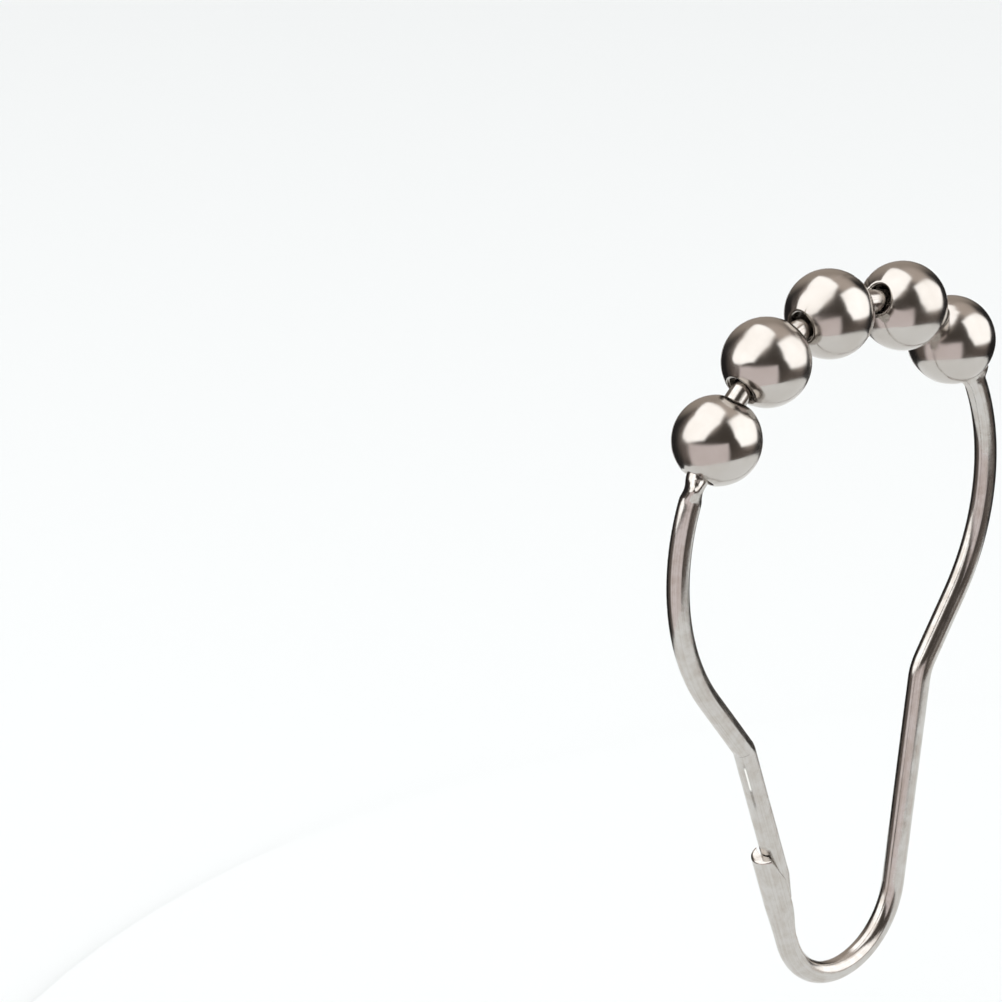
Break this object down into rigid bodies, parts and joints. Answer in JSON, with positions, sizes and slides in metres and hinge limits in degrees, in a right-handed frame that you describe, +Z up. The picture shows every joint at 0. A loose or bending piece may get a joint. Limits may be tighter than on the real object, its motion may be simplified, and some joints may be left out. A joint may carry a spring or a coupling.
{
  "type": "shower curtain hook",
  "caption": "Pear-shaped bent wire hook with hollow steel roller balls on its round head and a pressed trough that latches the front leg above the curtain loop.",
  "frame": {"origin": "middle of the round head, on the axis of the rod that the hook hangs on", "axes": "+X along the curtain rod, square to the plane of the hook; +Y from the latched front leg to the plain back leg; +Z up, from the curtain loop to the balls"},
  "size_m": [0.009, 0.0478, 0.0784],
  "materials": {
    "plated_wire": "nickel-plated drawn steel wire, bright with fine drawing streaks",
    "plated_ball": "mirror-bright nickel-plated formed sheet steel"
  },
  "bodies": {
    "wire": {"wire_hook": "plated_wire"},
    "ball_1": {"roller_ball_1": "plated_ball"},
    "ball_2": {"roller_ball_2": "plated_ball"},
    "ball_3": {"roller_ball_3": "plated_ball"},
    "ball_4": {"roller_ball_4": "plated_ball"},
    "ball_5": {"roller_ball_5": "plated_ball"}
  },
  "joints": [
    {"name": "ball_1_roll", "type": "hinge", "parent": "wire", "child": "ball_1", "pos_m": [0, -0.01747, 0.0138], "axis": [0, -0.6198, -0.7848], "continuous": true},
    {"name": "ball_2_roll", "type": "hinge", "parent": "wire", "child": "ball_2", "pos_m": [0, -0.01051, 0.02003], "axis": [0, -0.8855, -0.4647], "continuous": true},
    {"name": "ball_3_roll", "type": "hinge", "parent": "wire", "child": "ball_3", "pos_m": [0, -0.00146, 0.02264], "axis": [0, -0.9979, -0.0642], "continuous": true},
    {"name": "ball_4_roll", "type": "hinge", "parent": "wire", "child": "ball_4", "pos_m": [0, 0.00948, 0.02054], "axis": [0, -0.9079, 0.4192], "continuous": true},
    {"name": "ball_5_roll", "type": "hinge", "parent": "wire", "child": "ball_5", "pos_m": [0, 0.01698, 0.01487], "axis": [0, -0.6588, 0.7523], "continuous": true}
  ]
}
